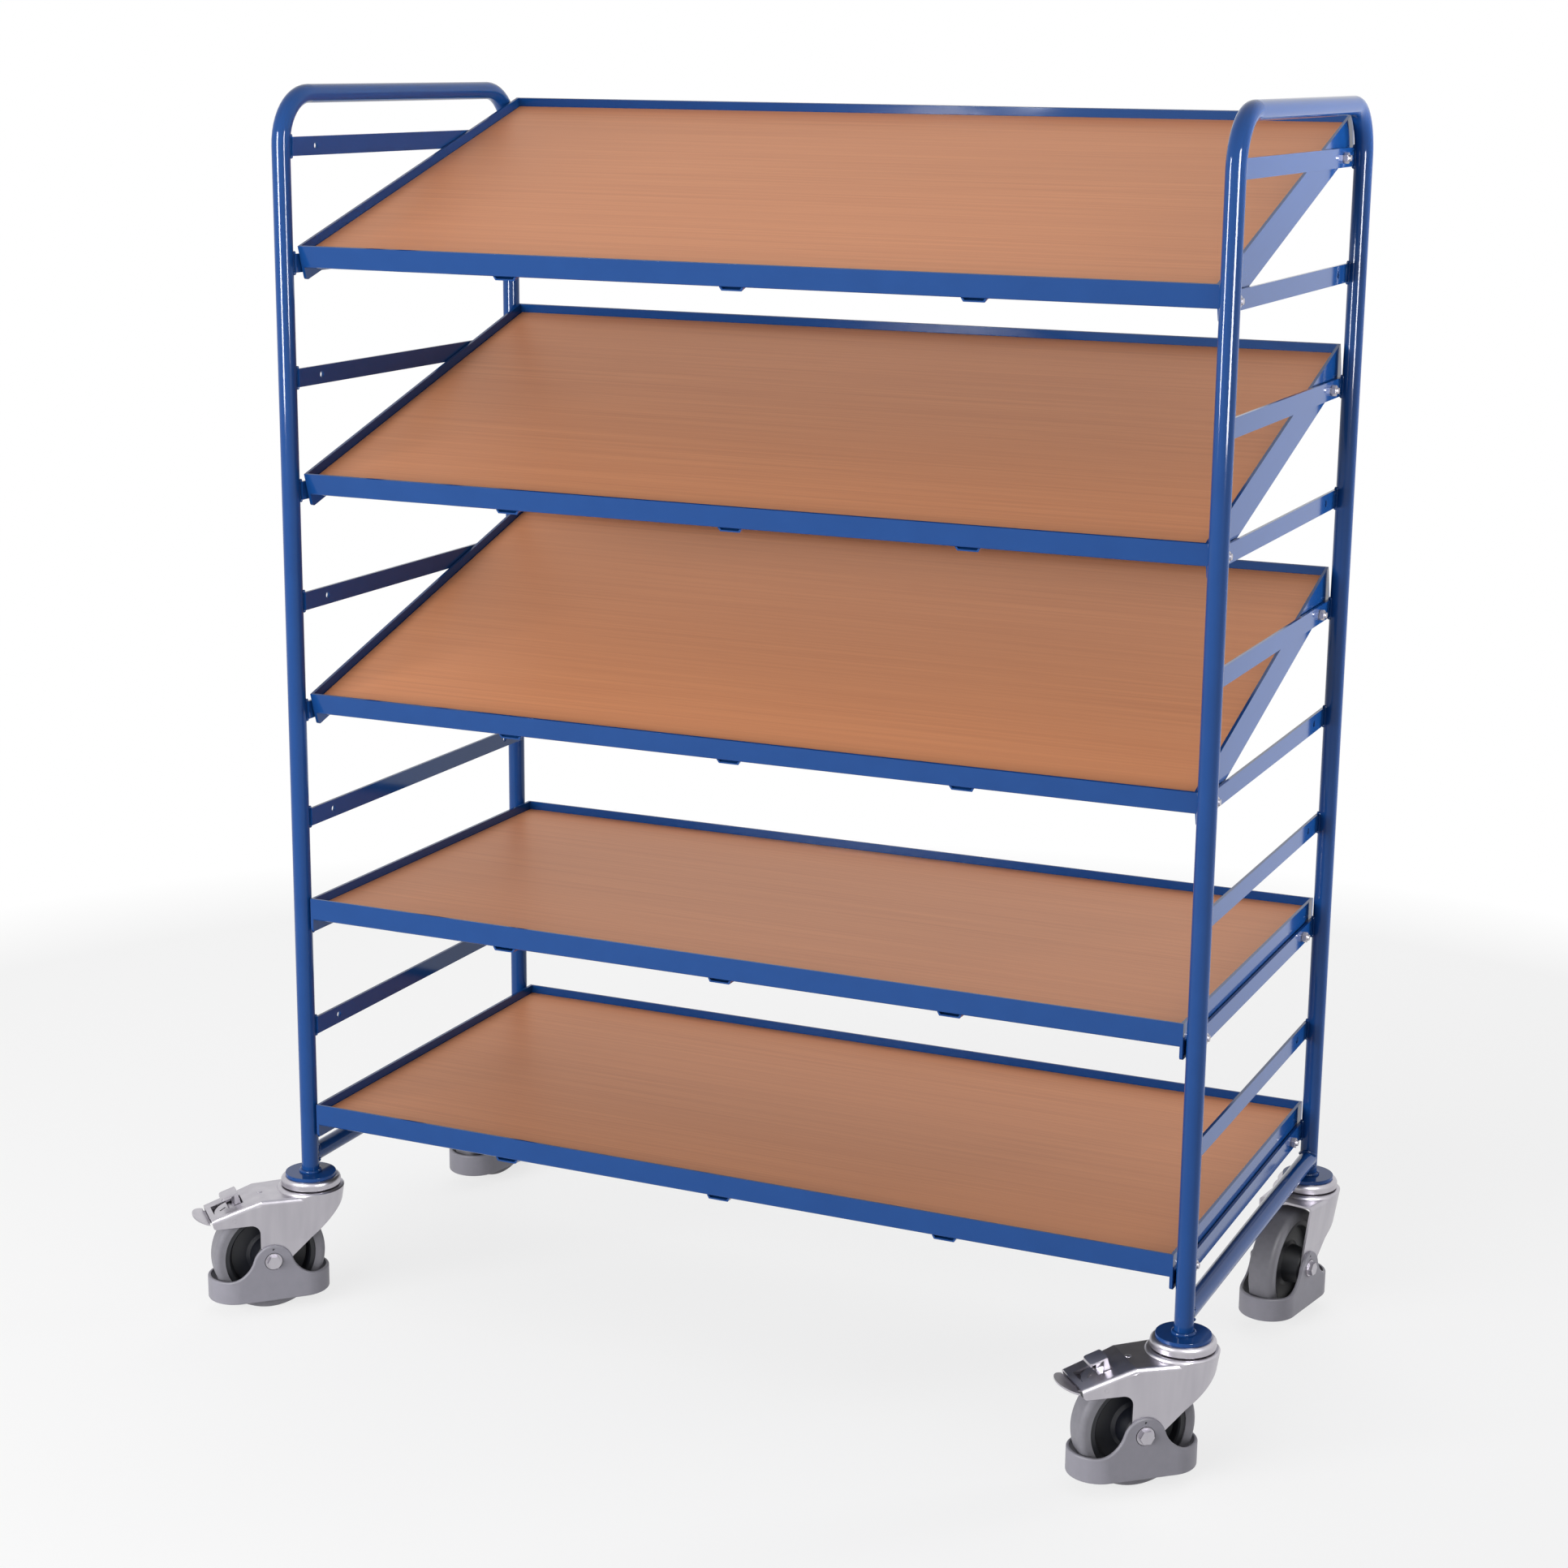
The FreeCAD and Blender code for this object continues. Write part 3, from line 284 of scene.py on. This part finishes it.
# Crown rivets: the flat dome of a rivet set in the crown of each braked fork,
# where the catch spring of the brake is held underneath.
# The swivel's place in metres, and the way the parked fork trails in degrees
TRAILING = {"front_left": (-POST_X, -POST_Y, 225.0), "front_right": (POST_X, -POST_Y, 221.0)}
CROWN_TOP_Z, RIVET_REACH = 0.172, 0.075
RIVET_RADIUS, RIVET_RISE, RIVET_SIDES = 0.0042, 0.0011, 24
for corner, (x, y, heading) in TRAILING.items():
    turn = Matrix.Rotation(math.radians(heading), 4, "Z")
    crown = Matrix.Translation((x, y, CROWN_TOP_Z)) @ turn
    dome = bmesh.new()
    rows = []
    for lean in map(math.radians, range(0, 90, 18)):
        reach, rise = RIVET_RADIUS * math.cos(lean), RIVET_RISE * math.sin(lean)
        row = []
        for here in range(RIVET_SIDES):
            a = 2 * math.pi * here / RIVET_SIDES
            point = Vector((RIVET_REACH + reach * math.cos(a), reach * math.sin(a), rise))
            row.append(dome.verts.new(crown @ point))
        rows.append(row)
    for low, high in zip(rows, rows[1:]):
        for here in range(RIVET_SIDES):
            beside = (here + 1) % RIVET_SIDES
            dome.faces.new((low[here], low[beside], high[beside], high[here]))
    dome.faces.new(rows[-1])
    dome.faces.new(rows[0][::-1])
    add_piece(corner + "_crown_rivet", dome, zinc, corner + "_fork_body")


# Wheels: a moulded core of black polypropylene with a bearing bush, and a soft
# grey tyre moulded round it.
# Thermoplastic rubber: matt mid grey that scatters light. Its moulded skin is too
# fine to show here, so its tone is drawn as coarse specks
rubber, shader = new_material("grey_thermoplastic_rubber", Roughness=0.55)
place = add_node(rubber, "ShaderNodeTexCoord").outputs["Object"]
speck_mm = 9
speck = add_node(rubber, "ShaderNodeTexNoise", {
    "Vector": place, "Scale": 1000 / speck_mm, "Detail": 4.0})
greys = add_node(rubber, "ShaderNodeMix", {
    0: speck.outputs["Fac"], 6: linear("#6C6B72"), 7: linear("#7C7B82")}, data_type="RGBA")
rubber.node_tree.links.new(greys.outputs[2], shader.inputs["Base Color"])

# Polypropylene: nearly black with a dull moulded gloss and faint flow marks
black_pp, shader = new_material("black_polypropylene", Roughness=0.45)
place = add_node(black_pp, "ShaderNodeTexCoord").outputs["Object"]
flow_mm = 7
mould = add_node(black_pp, "ShaderNodeTexNoise", {
    "Vector": place, "Scale": 1000 / flow_mm, "Detail": 3.0})
blacks = add_node(black_pp, "ShaderNodeMix", {
    0: mould.outputs["Fac"], 6: linear("#0D0F15"), 7: linear("#15171F")}, data_type="RGBA")
black_pp.node_tree.links.new(blacks.outputs[2], shader.inputs["Base Color"])
for corner in CORNERS:
    dress(corner + "_tyre", rubber)
    dress(corner + "_wheel_core", black_pp)
    dress(corner + "_wheel_bearing", zinc)
for corner in BRAKED:
    dress(corner + "_brake_shoe", black_pp)


# Foot guards: hoops moulded in grey polypropylene that keep feet clear of the
# wheels, held under the axle washers.
# Polypropylene in light grey: even and matt. The spark-eroded skin of its mould is
# too fine to show here, so its tone is drawn as coarse clouds
grey_pp, shader = new_material("grey_polypropylene", Roughness=0.5)
place = add_node(grey_pp, "ShaderNodeTexCoord").outputs["Object"]
cloud_mm = 14
cast = add_node(grey_pp, "ShaderNodeTexNoise", {
    "Vector": place, "Scale": 1000 / cloud_mm, "Detail": 4.0})
pale = add_node(grey_pp, "ShaderNodeMix", {
    0: cast.outputs["Fac"], 6: linear("#7B7A82"), 7: linear("#86848E")}, data_type="RGBA")
grey_pp.node_tree.links.new(pale.outputs[2], shader.inputs["Base Color"])
for corner in CORNERS:
    dress(corner + "_foot_guard", grey_pp)


# Studio: a wide pale floor that goes over into a white backdrop, matt fills in
# front, behind and at the right, and two upright strips that draw the gloss.
FLOOR_SIZE = 60.0
floor_mesh = bmesh.new()
bmesh.ops.create_grid(floor_mesh, x_segments=1, y_segments=1, size=FLOOR_SIZE / 2)
floor_data = bpy.data.meshes.new("floor")
floor_mesh.to_mesh(floor_data)
floor_mesh.free()
floor = bpy.data.objects.new("floor", floor_data)
bpy.context.scene.collection.objects.link(floor)


def seen_rays(owner):
    # 1 for a ray that shows the background, straight, mirrored or through glass
    rays = add_node(owner, "ShaderNodeLightPath")
    seen = add_node(owner, "ShaderNodeMath", {
        0: rays.outputs["Is Camera Ray"], 1: rays.outputs["Is Glossy Ray"]}, operation="MAXIMUM")
    seen = add_node(owner, "ShaderNodeMath", {
        0: seen.outputs["Value"], 1: rays.outputs["Is Transmission Ray"]}, operation="MAXIMUM")
    return seen.outputs["Value"]


# Backdrop paper: matt and pale near the rack, where it takes the shadow, and plain
# white in the distance
paper, shader = new_material("white_backdrop_paper", Roughness=0.9, Specular_IOR_Level=0.0)
shader.inputs["Base Color"].default_value = linear("#F4F4F4")
NEAR_WHITE = 0.74
SHADOW_END, WHITE_START = 1.0, 2.6
place = add_node(paper, "ShaderNodeTexCoord").outputs["Object"]
distance = add_node(paper, "ShaderNodeVectorMath", {0: place}, operation="LENGTH")
far = add_node(paper, "ShaderNodeMapRange", {
    "Value": distance.outputs["Value"], "From Min": SHADOW_END, "From Max": WHITE_START})
near = add_node(paper, "ShaderNodeMath", {
    0: seen_rays(paper), 1: NEAR_WHITE}, operation="MULTIPLY")
white = add_node(paper, "ShaderNodeMath", {
    0: far.outputs["Result"], 1: near.outputs["Value"]}, operation="MAXIMUM")
glow = add_node(paper, "ShaderNodeEmission", {"Color": (1, 1, 1, 1), "Strength": 1.0})
ground = add_node(paper, "ShaderNodeMixShader", {
    0: white.outputs["Value"], 1: shader.outputs["BSDF"], 2: glow.outputs["Emission"]})
surface = paper.node_tree.nodes["Material Output"].inputs["Surface"]
paper.node_tree.links.new(ground.outputs["Shader"], surface)
floor_data.materials.append(paper)

# The room lights the rack softly from all round and shows white behind it
ROOM_LIGHT = 0.36
world = bpy.data.worlds.new("studio")
bpy.context.scene.world = world
world.use_nodes = True
sky = world.node_tree.nodes["Background"]
sky.inputs["Color"].default_value = (1, 1, 1, 1)
sky.inputs["Strength"].default_value = ROOM_LIGHT
white = add_node(world, "ShaderNodeBackground", {"Color": (1, 1, 1, 1), "Strength": 1.0})
both = add_node(world, "ShaderNodeMixShader", {
    0: seen_rays(world), 1: sky.outputs["Background"], 2: white.outputs["Background"]})
surface = world.node_tree.nodes["World Output"].inputs["Surface"]
world.node_tree.links.new(both.outputs["Shader"], surface)


def soft_box(name, centre, aim, width, height, watts, draws, spread=180):
    lamp = bpy.data.lights.new(name, "AREA")
    lamp.shape = "RECTANGLE"
    lamp.size = width
    lamp.size_y = height
    lamp.energy = watts
    lamp.spread = math.radians(spread)
    holder = bpy.data.objects.new(name, lamp)
    turn = (Vector(aim) - Vector(centre)).to_track_quat("-Z", "Y")
    holder.matrix_world = Matrix.Translation(centre) @ turn.to_matrix().to_4x4()
    holder.visible_diffuse = draws == "colour"
    holder.visible_glossy = draws == "gloss"
    bpy.context.scene.collection.objects.link(holder)


# The two with a narrow spread have a grid before them, so that they light the
# right-hand faces and the handles and stay off the boards
soft_box("front_fill", centre=(-1.5, -4.4, 1.5), aim=(0.0, 0.0, 1.0),
         width=4.2, height=2.0, watts=243.0, draws="colour")
soft_box("back_fill", centre=(0.0, 2.9, 2.5), aim=(0.0, 0.0, 0.9),
         width=4.2, height=1.6, watts=31.0, draws="colour")
soft_box("right_fill", centre=(2.1, 1.5, 1.0), aim=(0.65, 0.0, 1.05),
         width=0.8, height=1.7, watts=9.0, draws="colour", spread=40)
soft_box("high_fill", centre=(3.2, 0.0, 1.80), aim=(-0.65, 0.0, 1.68),
         width=0.9, height=0.25, watts=0.8, draws="colour", spread=8)
soft_box("left_strip", centre=(-0.95, -1.80, 1.71), aim=(0.0, 0.0, 1.71),
         width=0.42, height=1.2, watts=80.0, draws="gloss")
soft_box("right_strip", centre=(1.65, -1.08, 1.76), aim=(0.3, 0.0, 1.76),
         width=0.38, height=1.2, watts=72.0, draws="gloss")

# Camera at the height of a standing eye, to the right of the front
CAMERA_PLACE = (1.61769, -3.72716, 1.7659)
YAW, PITCH, ROLL = 0.4205, 0.2404, 0.0104
SENSOR_MM, LENS_MM = 36.0, 68.79
forward = Vector((-math.sin(YAW) * math.cos(PITCH),
                  math.cos(YAW) * math.cos(PITCH), -math.sin(PITCH)))
right = Vector((math.cos(YAW), math.sin(YAW), 0.0))
up = right.cross(forward)
tilted_right = right * math.cos(ROLL) + up * math.sin(ROLL)
tilted_up = up * math.cos(ROLL) - right * math.sin(ROLL)
lens = bpy.data.cameras.new("camera")
lens.sensor_width = SENSOR_MM
lens.lens = LENS_MM
lens.clip_end = 200.0
camera = bpy.data.objects.new("camera", lens)
camera.matrix_world = Matrix((
    (tilted_right.x, tilted_up.x, -forward.x, CAMERA_PLACE[0]),
    (tilted_right.y, tilted_up.y, -forward.y, CAMERA_PLACE[1]),
    (tilted_right.z, tilted_up.z, -forward.z, CAMERA_PLACE[2]),
    (0, 0, 0, 1)))
bpy.context.scene.collection.objects.link(camera)
bpy.context.scene.camera = camera
bpy.context.scene.view_settings.view_transform = "Standard"
